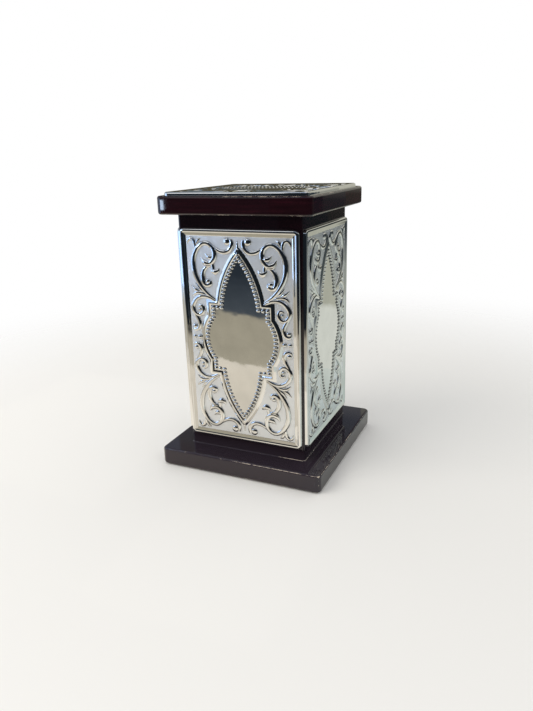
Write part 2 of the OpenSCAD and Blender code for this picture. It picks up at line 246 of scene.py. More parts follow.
piano_lacquer = lacquered("piano_lacquer", ("#10090c", "#160b0f", "#1e0d13"))
low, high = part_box("base_board")
bm = square_block(low, high)
round_edges(bm, upright_edges(bm), BOARD_CORNER_R, 8)
round_edges(bm, level_edges(bm, (low.z, high.z)), BOARD_EDGE_R, 6)
mark_wear(bm)
soften(bm)
base = place_piece(bm, "base_board_lacquered", "case", ["base_board"], [piano_lacquer])
keep_flats_flat(base)


# Base screws. Four zinc-plated countersunk wood screws, driven up through the base board into
# the floor board before the felt goes on.
zinc_plate, tree, place = new_material("zinc_plate")
flecks = add(tree, "TexNoise", {"Vector": place, "Scale": per_mm(0.5), "Detail": 3})
shine = add(tree, "MapRange", {"Value": flecks.outputs["Fac"], "To Min": 0.22, "To Max": 0.42})
tone = add(tree, "ValToRGB", {"Fac": flecks.outputs["Fac"]})
set_ramp(tone, [(0.3, "#9c9fa6"), (0.7, "#c4c6c8")])
surface(tree, add(tree, "BsdfPrincipled", {
    "Base Color": tone.outputs["Color"], "Metallic": 1, "Roughness": shine.outputs[0]}))
dress(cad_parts["base_screws"], zinc_plate)


# Floor board. A square of 9 mm board that fills the foot of the case and locates its walls.
# Only a matte stain covers it, because it shows only when the lid is off.
INNER_EDGE_R = 0.4 * MM

stained_board, tree, place = new_material("stained_fibreboard")
strands = add(tree, "TexNoise", {"Vector": place, "Scale": per_mm(0.8), "Detail": 6, "Roughness": 0.7})
brown = add(tree, "ValToRGB", {"Fac": strands.outputs["Fac"]})
set_ramp(brown, [(0.3, "#24150f"), (0.5, "#3a2418"), (0.72, "#553826")])
tooth = add(tree, "Bump", {"Height": strands.outputs["Fac"], "Strength": 0.3, "Distance": 0.1 * MM})
surface(tree, add(tree, "BsdfPrincipled", {
    "Base Color": brown.outputs["Color"], "Roughness": 0.75, "Normal": tooth.outputs["Normal"]}))

bm = square_block(*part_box("floor_board"))
round_edges(bm, bm.edges[:], INNER_EDGE_R, 2)
soften(bm)
floor = place_piece(bm, "floor_board_stained", "case", ["floor_board"], [stained_board])
keep_flats_flat(floor)


# Case walls. Four boards of 6 mm, mitred and glued at the corners, then lacquered together, so
# that the upright edges look seamless. Each is cut here from one rounded block by its mitres.
WALL_CORNER_R = 1.2 * MM
WALL_TOP_R = 0.4 * MM
FOOT_FILLET = 0.6 * MM
SIDES = ["front", "right", "back", "left"]


def trim(bm, point, normal):
    """Cuts off what lies on the far side of a plane, and closes the cut."""
    cut = bmesh.ops.bisect_plane(bm, geom=bm.verts[:] + bm.edges[:] + bm.faces[:],
                                 plane_co=point, plane_no=normal, clear_outer=True)
    rim = [g for g in cut["geom_cut"] if isinstance(g, bmesh.types.BMEdge)]
    bmesh.ops.edgeloop_fill(bm, edges=rim)


def flare_foot(bm, height):
    """Spreads the foot of a block a little, as lacquer does where it runs into a corner."""
    for rise, spread in ((1, 0), (0.6, 0.06), (0.3, 0.22), (0.1, 0.55), (0, 1)):
        level = height + rise * FOOT_FILLET
        if rise:
            bmesh.ops.bisect_plane(bm, geom=bm.verts[:] + bm.edges[:] + bm.faces[:],
                                   plane_co=(0, 0, level), plane_no=(0, 0, 1))
        for vert in bm.verts:
            if abs(vert.co.z - level) < 1e-6:
                reach = 1 + spread * FOOT_FILLET / max(abs(vert.co.x), abs(vert.co.y))
                vert.co.xy = vert.co.xy * reach


front_low, front_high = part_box("front_wall")
wall_inner_y = front_high.y
case_half = -front_low.y
case_low = Vector((-case_half, -case_half, front_low.z))
case_high = Vector((case_half, case_half, front_high.z))
for turn, side in enumerate(SIDES):
    bm = square_block(case_low, case_high)
    round_edges(bm, upright_edges(bm), WALL_CORNER_R, 8)
    round_edges(bm, level_edges(bm, (case_high.z,)), WALL_TOP_R, 3)
    flare_foot(bm, case_low.z)
    trim(bm, (0, wall_inner_y, 0), (0, 1, 0))
    for mitre in (-1, 1):
        trim(bm, (0, 0, 0), (mitre, 1, 0))
    mark_wear(bm)
    soften(bm)
    bmesh.ops.rotate(bm, verts=bm.verts, cent=(0, 0, 0),
                     matrix=Matrix.Rotation(turn * math.pi / 2, 3, "Z"))
    wall = place_piece(bm, f"{side}_wall_lacquered", "case", [f"{side}_wall"],
                       [piano_lacquer])
    keep_flats_flat(wall)


# Foam tape. A sheet of white double-sided foam in the hollow of each plaque, which sticks the
# plaque to its wall and keeps it from drumming.
closed_foam, tree, place = new_material("closed_cell_foam")
cells = add(tree, "TexVoronoi", {"Vector": place, "Scale": per_mm(0.35)})
pale = add(tree, "ValToRGB", {"Fac": cells.outputs["Distance"]})
set_ramp(pale, [(0.1, "#efece4"), (0.8, "#d8d3c8")])
pores = add(tree, "Bump", {"Height": cells.outputs["Distance"], "Strength": 0.4, "Distance": 0.1 * MM})
surface(tree, add(tree, "BsdfPrincipled", {
    "Base Color": pale.outputs["Color"], "Roughness": 0.9, "Normal": pores.outputs["Normal"]}))
for name in [f"{side}_tape" for side in SIDES] + ["lid_tape"]:
    dress(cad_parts[name], closed_foam)


# Side plaques. Four like sheets of silver-plated metal, stamped in one die: a raised rim, a
# satin ground with polished scrolls and ball ends, and a medallion with a beaded edge.
RIM_W = 3.7 * MM
RIM_CORNER_R = 2.6 * MM
RIM_INNER_R = 0.4 * MM
GROUND_H = 1 * MM
SHEET_T = 0.4 * MM
RIDGE_W = 2.9 * MM
RIDGE_OUT = 1.6 * MM
BEAD_RUN_R = 0.94 * MM
BEAD_CROSS_R = 1.25 * MM
BEAD_H = 0.8 * MM
BEAD_PITCH = 2.05 * MM
BEAD_INSET = 2.4 * MM
FIELD_H = 0.2 * MM
TIP_GAP = 6.4 * MM
BELLY_GAP = 7 * MM
ARCH_R = 50 * MM
SHOULDER_HALF_W = 17.5 * MM
SHOULDER_HALF_H = 18.8 * MM
BELLY_HALF_H = 11.8 * MM
NECK_HALF_W = 12.4 * MM
POLISHED, SATIN = 0, 1

# A ball or a bead is rounded up to this angle, where a small flat closes it.
CAP_ANGLE = math.radians(80)

# A row of beads has one in each corner that turns by more than this.
CORNER_ANGLE = math.radians(30)

# Raised shapes start this far below the ground, so that no gap shows round them.
FOOT = -0.1 * MM

# Sections of the rim and of the medallion's outline, in millimetres: how far in from the outer edge,
# and how high above the wood or above the ground.
RIM_PROFILE = [(0.04, 0.5), (0.1, 0.95), (0.18, 1.25), (0.3, 1.42), (0.45, 1.53), (0.6, 1.61),
               (0.75, 1.655), (0.95, 1.682), (1.2, 1.69), (1.4, 1.68), (1.55, 1.645), (1.7, 1.58),
               (1.85, 1.5), (2, 1.435), (2.1, 1.402), (2.6, 1.287), (3.1, 1.171), (3.65, 1.044), (3.7, 1)]
RIDGE_PROFILE = [(0.15, 0.05), (0.6, 0.24), (1.05, 0.5), (1.3, 0.62), (1.55, 0.68), (1.8, 0.7),
                 (2.05, 0.69), (2.3, 0.62), (2.55, 0.46), (2.75, 0.31), (2.9, 0.2)]

# The section of a scroll, in shares of its half width: how high it stands and how deep its foot is.
STROKE_RISE = 0.66
STROKE_FOOT = -0.2

# The scrolls of one quarter, in millimetres from the plaque's middle: across, up, half width.
# They are drawn for a ground of this half size.
DRAWN_HALF = (28.65, 51.65)
SCROLLS = [
    # Main stem, which curls over at the top and ends in a leaf
    [(13.6, 20.2, .62), (17.3, 22.6, 1.06), (20.2, 25.4, 1.19), (22.6, 28.7, 1.31), (24.4, 32.5, 1.38),
     (25.2, 36.5, 1.44), (25, 40.5, 1.44), (23.6, 44, 1.38), (21.2, 46.9, 1.31), (17.9, 48.3, 1.31),
     (14.9, 47.2, 1.31), (13.2, 44.8, 1.38), (13, 42.2, 1.44), (14.2, 39.6, 1.45), (16.4, 38.3, 1.45),
     (18.6, 38.8, 1.44), (20.7, 41.1, .31)],
    # Hook at the head of the plaque
    [(13.4, 46.6, .75), (11.2, 45.1, 1.06), (8.7, 44.2, 1.25), (6, 44.4, 1.31), (4, 46, 1.31),
     (3.1, 48.2, 1.25), (3.5, 50.3, .88)],
    # Fold under the curl's leaf, and the small leaf inside the curl
    [(13.9, 38.9, .4), (15.6, 37.6, 1.05), (17.5, 37.3, 1.2), (19.2, 38.3, .95), (20.6, 40, .25)],
    [(13.6, 42.2, .9), (14.9, 41.4, 1.4), (16.3, 41.6, 1.3), (18.2, 43.1, .25)],
    # Short hook under the curl, with its cup
    [(14.6, 38.9, .62), (14.2, 37.3, .94), (14, 35.4, .88)],
    [(15.5, 36, .25), (14.3, 34.8, 1.2), (12.9, 34.3, 1.45), (11.6, 34.8, 1.2), (10.6, 35.9, .38)],
    [(15.2, 35.2, .25), (14, 34, .9), (12.8, 33.6, 1.1), (11.4, 34.3, .4)],
    # Long hook under the curl
    [(15.5, 37.7, .62), (17.6, 36.6, 1.06), (19.3, 34.9, 1.25), (20.2, 32.6, 1.38), (20.2, 30.3, 1.44),
     (19.6, 28.4, 1.45), (18, 27.4, 1.45), (16.3, 28.1, 1.38), (15.7, 29.8, .5)],
    # Sprig in the corner
    [(23.6, 46.2, .8), (23.9, 48.3, 1.05), (24.9, 49.9, 1.05), (26.2, 50.3, .95), (27.4, 49.3, .8),
     (27.9, 47.6, .25)],
    [(20.4, 50.4, .35), (21.7, 49.7, .95), (22.6, 48.3, .85), (23, 46.8, .45)],
    # Leaves where the two stems part
    [(19.4, 23.4, .44), (22, 25.2, .94), (24.6, 28, .25)],
    [(21.6, 23.4, .5), (24.5, 24.8, 1), (27.1, 27, .25)],
    [(18.7, 22.2, .62), (21.6, 23.2, 1), (24.5, 23.1, 1.06), (26.8, 21.4, .31)],
    # Side stem, which ends in a spiral
    [(13.4, 19.2, .62), (16.5, 20.9, 1), (20.2, 21.6, 1.19), (23.6, 20.6, 1.25), (26, 18.2, 1.31),
     (26.9, 15.6, 1.25), (25.8, 13, 1.19), (23.6, 11.9, 1.19), (21.6, 12.9, 1.19), (21, 15, 1.12),
     (22.1, 16.7, .94), (23.8, 16.2, .56)],
    # Tail of the side stem
    [(27.2, 14.6, .62), (26, 12.6, .94), (24.8, 10.5, 1.06), (23.7, 8.2, 1.19), (23.7, 6, 1.25),
     (25, 4.1, 1.25), (26.7, 3.9, .94), (27.8, 5.2, .38)],
]

# Balls at the ends of the scrolls and between the side tails, and the spike on the medallion's tip,
# drawn like the scrolls. A ball is flattened: it stands as high as a share of its radius, up to a limit.
BALLS = [(5.6, 49.3, 2), (17.3, 29.4, 1.45), (23, 14.6, 1), (26.3, 5.7, 1.35)]
SIDE_BALLS = [(23.9, 0, 1.3), (26.8, 0, 1.1)]
SPIKE = [(0, 43.4, 1.3), (0, 44.8, 1), (0, 46.2, .7), (0, 47.8, .45), (0, 49.8, .2)]
BALL_RISE = 0.75
BALL_TOP = 0.95


def arc(centre, radius, start, end, steps):
    """Points along an arc, in degrees, with both its ends."""
    angles = [math.radians(start + (end - start) * i / steps) for i in range(steps + 1)]
    return [Vector((centre[0] + radius * math.cos(a), centre[1] + radius * math.sin(a))) for a in angles]


def round_square(half_w, half_h, radius, steps):
    """The outline of a rectangle with round corners."""
    cx, cy = half_w - radius, half_h - radius
    corners = [((cx, cy), 0), ((-cx, cy), 90), ((-cx, -cy), 180), ((cx, -cy), 270)]
    return [p for centre, start in corners for p in arc(centre, radius, start, start + 90, steps)]


def loft(bm, loops, closed):
    """A skin over a row of (points, height) outlines, with the last joined to the first if closed.
    Points are joined in order, because bridge_loops twists the skin between some of the outlines."""
    rings = [[bm.verts.new((p.x, p.y, height)) for p in points] for points, height in loops]
    for lower, upper in zip(rings, rings[1:] + rings[:closed]):
        for i in range(len(lower)):
            bm.faces.new((lower[i - 1], lower[i], upper[i], upper[i - 1]))
    return rings


def tray(bm, width, height):
    """The formed sheet: a raised rim round a flat ground, hollow behind. Gives both flats."""
    hollow = (GROUND_H - SHEET_T) / MM
    loops = []
    for inset, rise in [(RIM_W / MM, hollow), (RIM_W / MM, 0), (0, 0)] + RIM_PROFILE:
        corner_r = max(RIM_CORNER_R - inset * MM, RIM_INNER_R)
        outline = round_square(width / 2 - inset * MM, height / 2 - inset * MM, corner_r, 10)
        loops.append((outline, rise * MM))
    loft(bm, loops, False)
    flats = bmesh.ops.edgeloop_fill(bm, edges=[e for e in bm.edges if e.is_boundary])["faces"]
    bmesh.ops.recalc_face_normals(bm, faces=bm.faces[:])
    back, top = sorted(flats, key=lambda f: f.verts[0].co.z)
    top.material_index = SATIN
    return top, back


def mirrored_quarter(points):
    """A closed outline from its upper right quarter, which runs from the top to the right."""
    right = points + [Vector((p.x, -p.y)) for p in reversed(points[:-1])]
    return right + [Vector((-p.x, p.y)) for p in reversed(right[1:-1])]


def medallion_quarter(half_w, half_h, grow, steps):
    """The medallion's outline from its tip to its belly, moved out by grow."""
    tip, belly = half_h - TIP_GAP, half_w - BELLY_GAP
    chord = Vector((NECK_HALF_W, SHOULDER_HALF_H - tip))
    back = math.sqrt(ARCH_R ** 2 - chord.length_squared / 4) / chord.length
    arch_x, arch_y = NECK_HALF_W / 2 + back * chord.y, (tip + SHOULDER_HALF_H) / 2 - back * chord.x
    belly_c = (belly ** 2 - SHOULDER_HALF_W ** 2 - BELLY_HALF_H ** 2) / (2 * (belly - SHOULDER_HALF_W))
    arch, round_r = ARCH_R + grow, belly - belly_c + grow
    side, ledge = SHOULDER_HALF_W + grow, SHOULDER_HALF_H + grow
    tip_angle = math.degrees(math.acos(-arch_x / arch))
    neck_angle = math.degrees(math.asin((ledge - arch_y) / arch))
    waist_angle = math.degrees(math.acos((side - belly_c) / round_r))
    return (arc((arch_x, arch_y), arch, tip_angle, neck_angle, steps)
            + [Vector((side, ledge))]
            + arc((belly_c, 0), round_r, waist_angle, 0, steps))


def medallion(bm, half_w, half_h):
    """The raised outline with the polished field inside it."""
    loops = []
    for inset, height in [(0, FOOT / MM)] + RIDGE_PROFILE:
        quarter = medallion_quarter(half_w, half_h, RIDGE_OUT - inset * MM, 14)
        loops.append((mirrored_quarter(quarter)[::-1], GROUND_H + height * MM))
    rings = loft(bm, loops, False)
    bm.faces.new(reversed(rings[0]))
    bm.faces.new(rings[-1])


def place_along(points, distance):
    """The place this far along a line of points, and the way the line runs there."""
    for a, b in zip(points, points[1:]):
        step = (b - a).length
        if distance <= step + 1e-9:
            break
        distance -= step
    return a.lerp(b, min(distance / step, 1)), (b - a).normalized()


def evenly(points, pitch):
    """Places at an even pitch along a line of points, corner to corner, without the first, each
    with the way the line runs there."""
    places = []
    run = [points[0]]
    for before, here, after in zip(points, points[1:], points[2:] + [None]):
        run.append(here)
        turned = after is None or (here - before).angle(after - here) > CORNER_ANGLE
        if turned:
            length = sum((b - a).length for a, b in zip(run, run[1:]))
            count = max(1, round(length / pitch))
            for i in range(1, count + 1):
                places.append(place_along(run, length * i / count))
            run = [here]
    return places


def sweep(strokes):
    """Half-round, tapered bands along these strokes, as one mesh."""
    section = bpy.data.curves.new("section", "CURVE")
    section.dimensions = "2D"
    half_round = [(p.x, STROKE_RISE * p.y) for p in arc((0, 0), 1, 180, 0, 10)]
    outline = half_round + [(1, STROKE_FOOT), (-1, STROKE_FOOT)]
    spline = section.splines.new("POLY")
    spline.points.add(len(outline) - 1)
    for point, (x, y) in zip(spline.points, outline):
        point.co = (x, y, 0, 1)
    spline.use_cyclic_u = True
    section_object = bpy.data.objects.new("section", section)
    path = bpy.data.curves.new("strokes", "CURVE")
    path.dimensions = "3D"
    path.twist_mode = "Z_UP"
    path.bevel_mode = "OBJECT"
    path.bevel_object = section_object
    path.use_fill_caps = True
    path.resolution_u = 6
    for stroke in strokes:
        spline = path.splines.new("BEZIER")
        spline.bezier_points.add(len(stroke) - 1)
        for point, (x, y, half_width) in zip(spline.bezier_points, stroke):
            point.co = (x * MM, y * MM, GROUND_H)
            point.radius = half_width * MM
            point.handle_left_type = point.handle_right_type = "AUTO"
    path_object = bpy.data.objects.new("strokes", path)
    for made in (section_object, path_object):
        bpy.context.scene.collection.objects.link(made)
    bpy.context.view_layer.update()
    shown = path_object.evaluated_get(bpy.context.evaluated_depsgraph_get())
    mesh = bpy.data.meshes.new_from_object(shown)
    for made in (path_object, section_object):
        bpy.data.objects.remove(made)
    bm = bmesh.new()
    bm.from_mesh(mesh)
    bmesh.ops.remove_doubles(bm, verts=bm.verts[:], dist=0.001 * MM)
    bmesh.ops.recalc_face_normals(bm, faces=bm.faces[:])
    for face in bm.faces:
        face.material_index = POLISHED
    bm.to_mesh(mesh)
    bm.free()
    return mesh


def dome(bm, place, run, radii, rise, segments, rings):
    """A round or oval cap, with its first radius along run: the upper half of a flattened ball."""
    step = CAP_ANGLE / rings
    long_way = run * radii[0]
    cross_way = Vector((-run.y, run.x)) * radii[1]
    loops = []
    for i in range(rings + 1):
        circle = arc((0, 0), math.cos(i * step), 0, 360 - 360 / segments, segments - 1)
        outline = [place.xy + long_way * p.x + cross_way * p.y for p in circle]
        loops.append((outline, place.z + rise * math.sin(i * step)))
    made = loft(bm, loops, False)
    bm.faces.new(reversed(made[0]))
    bm.faces.new(made[-1])


def ball(bm, x, y, r):
    """A ball end of a scroll, in millimetres."""
    rise = min(BALL_RISE * r, BALL_TOP) * MM
    dome(bm, Vector((x * MM, y * MM, GROUND_H)), Vector((1, 0)), (r * MM, r * MM), rise, 18, 5)


def bead(bm, place, run):
    """One bead of a border, longer across the border than along it."""
    dome(bm, Vector((*place, GROUND_H + FIELD_H)), run, (BEAD_RUN_R, BEAD_CROSS_R), BEAD_H, 10, 3)


def four_ways(points):
    """The same points in all four quarters."""
    return [[(sx * p[0], sy * p[1], *p[2:]) for p in points] for sx in (1, -1) for sy in (1, -1)]


def side_sheet(width, height):
    """A whole side plaque, face up, with its middle at the origin."""
    bm = bmesh.new()
    tray(bm, width, height)
    half_w, half_h = width / 2 - RIM_W, height / 2 - RIM_W
    medallion(bm, half_w, half_h)

    def on_side(points):
        """Drawn points where they lie on this plaque."""
        fit_x, fit_y = half_w / MM / DRAWN_HALF[0], half_h / MM / DRAWN_HALF[1]
        return [(x * fit_x, y * fit_y, r) for x, y, r in points]

    strokes = [s for points in SCROLLS for s in four_ways(on_side(points))]
    strokes += four_ways(on_side(SPIKE))[:2]
    bm.from_mesh(sweep(strokes))
    balls = four_ways(on_side(BALLS)) + four_ways(on_side(SIDE_BALLS))[::2]
    for x, y, r in [p for places in balls for p in places]:
        ball(bm, x, y, r)
    quarter = medallion_quarter(half_w, half_h, -BEAD_INSET, 24)
    for place, run in evenly(quarter, BEAD_PITCH)[:-1]:
        for flip in (Vector((sx, sy)) for sx in (1, -1) for sy in (1, -1)):
            bead(bm, place * flip, run * flip)
    for sign in (1, -1):
        bead(bm, quarter[0] * sign, Vector((1, 0)))
        bead(bm, quarter[-1] * sign, Vector((0, 1)))
    soften(bm)
    return bm


# Silver plate, polished: bright, nearly neutral, with the faint waves of stamped sheet and a
# little smear from wiping.
polished_plate, tree, place = new_material("silver_plate_polished")
smear = add(tree, "TexNoise", {"Vector": place, "Scale": per_mm(9), "Detail": 4})
gloss = add(tree, "MapRange", {"Value": smear.outputs["Fac"], "To Min": 0.03, "To Max": 0.07})
tint = add(tree, "ValToRGB", {"Fac": smear.outputs["Fac"]})
set_ramp(tint, [(0.3, "#d3d2cf"), (0.7, "#dddcd9")])
waves = add(tree, "TexNoise", {"Vector": place, "Scale": per_mm(12), "Detail": 2})
sheet_wave = add(tree, "Bump", {"Height": waves.outputs["Fac"], "Strength": 0.7, "Distance": 0.12 * MM})
surface(tree, add(tree, "BsdfPrincipled", {
    "Base Color": tint.outputs["Color"], "Metallic": 1, "Roughness": gloss.outputs[0],
    "Normal": sheet_wave.outputs["Normal"]}))

# Silver plate, satin: the same plate on the ground of the stamping, etched to a fine grain.
# The real grain is under 0.1 mm. It is drawn at 0.25 mm so that it shows.
satin_plate, tree, place = new_material("silver_plate_satin")
etch = add(tree, "TexNoise", {"Vector": place, "Scale": per_mm(0.25), "Detail": 2})
cloud = add(tree, "TexNoise", {"Vector": place, "Scale": per_mm(11), "Detail": 3})
matt = add(tree, "MapRange", {"Value": cloud.outputs["Fac"], "To Min": 0.47, "To Max": 0.53})
tint = add(tree, "ValToRGB", {"Fac": cloud.outputs["Fac"]})
set_ramp(tint, [(0.3, "#e6e8ea"), (0.7, "#eff1f3")])
grit = add(tree, "Bump", {"Height": etch.outputs["Fac"], "Strength": 0.25, "Distance": 0.03 * MM})
surface(tree, add(tree, "BsdfPrincipled", {
    "Base Color": tint.outputs["Color"], "Metallic": 0.9, "Roughness": matt.outputs[0],
    "Normal": grit.outputs["Normal"]}))

plaque_low, plaque_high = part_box("front_plaque")
plaque_size = plaque_high - plaque_low
plaque_place = (Matrix.Translation((0, plaque_high.y, (plaque_low.z + plaque_high.z) / 2))
                @ Matrix.Rotation(math.pi / 2, 4, "X"))
stamping = side_sheet(plaque_size.x, plaque_size.z)
for turn, side in enumerate(SIDES):
    bm = stamping.copy()
    bmesh.ops.transform(bm, verts=bm.verts[:],
                        matrix=Matrix.Rotation(turn * math.pi / 2, 4, "Z") @ plaque_place)
    plaque = place_piece(bm, f"{side}_plaque_stamped", "case", [f"{side}_plaque"],
                         [polished_plate, satin_plate])
    keep_flats_flat(plaque)
stamping.free()


# Lid locator. A square of stained 9 mm board under the lid, chamfered to drop between the walls
# and slotted for coins. Four screws hold it, countersunk from below.
SLOT_LEN = 40 * MM
SLOT_W = 5 * MM
SLOT_MARGIN = 1 * MM
LOCATOR_CORNER_R = 0.3 * MM
LOCATOR_CHAMFER = 1 * MM


def slot_outline(grow, steps):
    """The coin slot's outline, moved out by grow."""
    half = (SLOT_LEN - SLOT_W) / 2
    radius = SLOT_W / 2 + grow
    return arc((half, 0), radius, -90, 90, steps) + arc((-half, 0), radius, 90, 270, steps)


def ring_edges(bm, points, height):
    """A closed line of edges through these points."""
    verts = [bm.verts.new((p.x, p.y, height)) for p in points]
    return [bm.edges.new(pair) for pair in zip(verts, verts[1:] + verts[:1])]


def slotted_block(low, high, corner_r, steps):
    """A square block with round corners and the coin slot through it."""
    bm = bmesh.new()
    outline = round_square(high.x, high.y, corner_r, steps)
    bmesh.ops.bridge_loops(bm, edges=ring_edges(bm, outline, low.z)
                           + ring_edges(bm, slot_outline(0, 12), low.z))
    lifted = bmesh.ops.extrude_face_region(bm, geom=bm.faces[:])
    top = [g for g in lifted["geom"] if isinstance(g, bmesh.types.BMVert)]
    bmesh.ops.translate(bm, verts=top, vec=(0, 0, high.z - low.z))
    bmesh.ops.recalc_face_normals(bm, faces=bm.faces[:])
    return bm


def outside_slot(edges):
    """Those of these edges that aren't on the mouth of the slot."""
    reach_x, reach_y = SLOT_LEN / 2 + SLOT_MARGIN, SLOT_W / 2 + SLOT_MARGIN
    return [e for e in edges if any(abs(v.co.x) > reach_x or abs(v.co.y) > reach_y for v in e.verts)]


low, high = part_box("lid_locator")
bm = slotted_block(low, high, LOCATOR_CORNER_R, 2)
round_edges(bm, outside_slot(level_edges(bm, (low.z,))), LOCATOR_CHAMFER, 1)
soften(bm)
locator = place_piece(bm, "lid_locator_stained", "lid", ["lid_locator"], [stained_board])
keep_flats_flat(locator)
dress(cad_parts["lid_screws"], zinc_plate)


# Lid board. A square of 9 mm board with rounded edges, lacquered like the base, but with a redder
# stain that is painted light: the light that falls on the lid. The coin slot is routed through it.
low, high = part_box("lid_board")
bm = slotted_block(low, high, BOARD_CORNER_R, 8)
round_edges(bm, outside_slot(level_edges(bm, (low.z, high.z))), BOARD_EDGE_R, 6)
mark_wear(bm)
soften(bm)
# The same lacquer as the base, with its stain painted redder for the light on the lid.
lid_lacquer_painted_lit = lacquered("lid_lacquer_painted_lit", ("#16080c", "#1e0b10", "#2c0e16"))
lid = place_piece(bm, "lid_board_lacquered", "lid", ["lid_board"], [lid_lacquer_painted_lit])
keep_flats_flat(lid)


# Lid plaque. A square stamped sheet like those on the sides, with the coin slot pierced through
# a beaded border, and the same scrolls laid over into its corners.
SLOT_LIP_W = 1.6 * MM
SLOT_RIDGE_GAP = 5.4 * MM
LIP_PROFILE = [(0.1, 0.4), (0.45, 0.62), (0.8, 0.7), (1.15, 0.62), (1.5, 0.4), (1.6, 0.2)]

# How far the drawn scrolls move for the lid, in millimetres, the half size of ground that they then
# fit, and how many of the scrolls and of the balls the lid has.
LID_MOVE = (-18.5, 4.5)
LID_DRAWN_HALF = 33.15
LID_SCROLLS = 13
LID_BALLS = 2


def on_lid(points, half):
    """Side-plaque points with across and up changed over, moved into the lid's corner."""
    fit = half / MM / LID_DRAWN_HALF
    return [((y + LID_MOVE[0]) * fit, (x + LID_MOVE[1]) * fit, r) for x, y, r in points]


def pierce(bm, faces):
    """Opens the coin slot through both flats of a sheet."""
    walls = []
    for face in faces:
        finish, height, outer = face.material_index, face.verts[0].co.z, face.edges[:]
        bm.faces.remove(face)
        slot = ring_edges(bm, slot_outline(0, 20), height)
        for made in bmesh.ops.bridge_loops(bm, edges=outer + slot)["faces"]:
            made.material_index = finish
        walls += slot
    bmesh.ops.bridge_loops(bm, edges=walls)


low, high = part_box("lid_plaque")
bm = bmesh.new()
pierce(bm, tray(bm, high.x - low.x, high.y - low.y))
border_grow = SLOT_RIDGE_GAP + RIDGE_W
section = [(border_grow, FOOT)] + [(border_grow - x * MM, y * MM) for x, y in RIDGE_PROFILE]
section += [(x * MM, y * MM) for x, y in reversed(LIP_PROFILE)] + [(0, FIELD_H), (0, FOOT)]
loft(bm, [(slot_outline(grow, 20), GROUND_H + height) for grow, height in section], True)
lid_half = (high.x - low.x) / 2 - RIM_W
strokes = [s for points in SCROLLS[:LID_SCROLLS] for s in four_ways(on_lid(points, lid_half))]
bm.from_mesh(sweep(strokes))
for x, y, r in [p for places in four_ways(on_lid(BALLS[:LID_BALLS], lid_half)) for p in places]:
    ball(bm, x, y, r)
bead_row = slot_outline((SLOT_LIP_W + SLOT_RIDGE_GAP) / 2, 24)
for spot, run in evenly(bead_row + bead_row[:1], BEAD_PITCH):
    bead(bm, spot, run)
bmesh.ops.recalc_face_normals(bm, faces=bm.faces[:])
soften(bm)
bmesh.ops.translate(bm, verts=bm.verts[:], vec=(0, 0, low.z))
lid_plaque = place_piece(bm, "lid_plaque_stamped", "lid", ["lid_plaque"],
                         [polished_plate, satin_plate])
keep_flats_flat(lid_plaque)


# Studio. A pale floor that fades into a white background, white light from all round, and a
# softbox above on the left. Cards stand round the box, and show in the metal and lacquer alone.
FLOOR_HALF = 450 * MM
ROOM_LIGHT = 0.8
SOFTBOX_PLACE = Vector((-450, -500, 650)) * MM
SOFTBOX_AIM = Vector((0, 0, 80)) * MM
SOFTBOX_SIZE = 600 * MM
SOFTBOX_WATTS = 2.8

# The floor fades from this far out to its edge. The metal sees it warm on the left and cooler on
# the right, from the first of these places to the second.
FADE_FROM = 160 * MM
COOL_FROM = 20 * MM
COOL_FULL = 70 * MM


def stage_mesh(bm, name, material):
    """Turns a bmesh into a part of the studio."""
    mesh = bpy.data.meshes.new(name)
    bm.to_mesh(mesh)
    bm.free()
    mesh.materials.append(material)
    made = bpy.data.objects.new(name, mesh)
    bpy.context.scene.collection.objects.link(made)
    return made


pale_floor, tree, place = new_material("pale_floor")
distance = add(tree, "VectorMath", {0: place}, operation="LENGTH")
fade = add(tree, "MapRange", {"Value": distance.outputs["Value"], "From Min": FADE_FROM,
                              "From Max": FLOOR_HALF}, interpolation_type="SMOOTHSTEP")
across = add(tree, "SeparateXYZ", {0: place})
cool = add(tree, "MapRange", {"Value": across.outputs["X"], "From Min": COOL_FROM, "From Max": COOL_FULL})
tone = add(tree, "Mix", {0: cool.outputs[0], 6: linear("#ede6d8"), 7: linear("#e4ede9")},
           data_type="RGBA")
path = add(tree, "LightPath")
tone = add(tree, "Mix", {0: path.outputs["Is Camera Ray"], 6: tone.outputs[2], 7: linear("#f3f2ef")},
           data_type="RGBA")
plain = add(tree, "BsdfPrincipled", {"Base Color": tone.outputs[2], "Roughness": 0.9,
                                     "Specular IOR Level": 0.1})
clear = add(tree, "BsdfTransparent")
surface(tree, add(tree, "MixShader", {0: fade.outputs[0], 1: plain.outputs[0], 2: clear.outputs[0]}))
bm = bmesh.new()
bmesh.ops.create_grid(bm, x_segments=1, y_segments=1, size=FLOOR_HALF)
stage_mesh(bm, "floor", pale_floor)

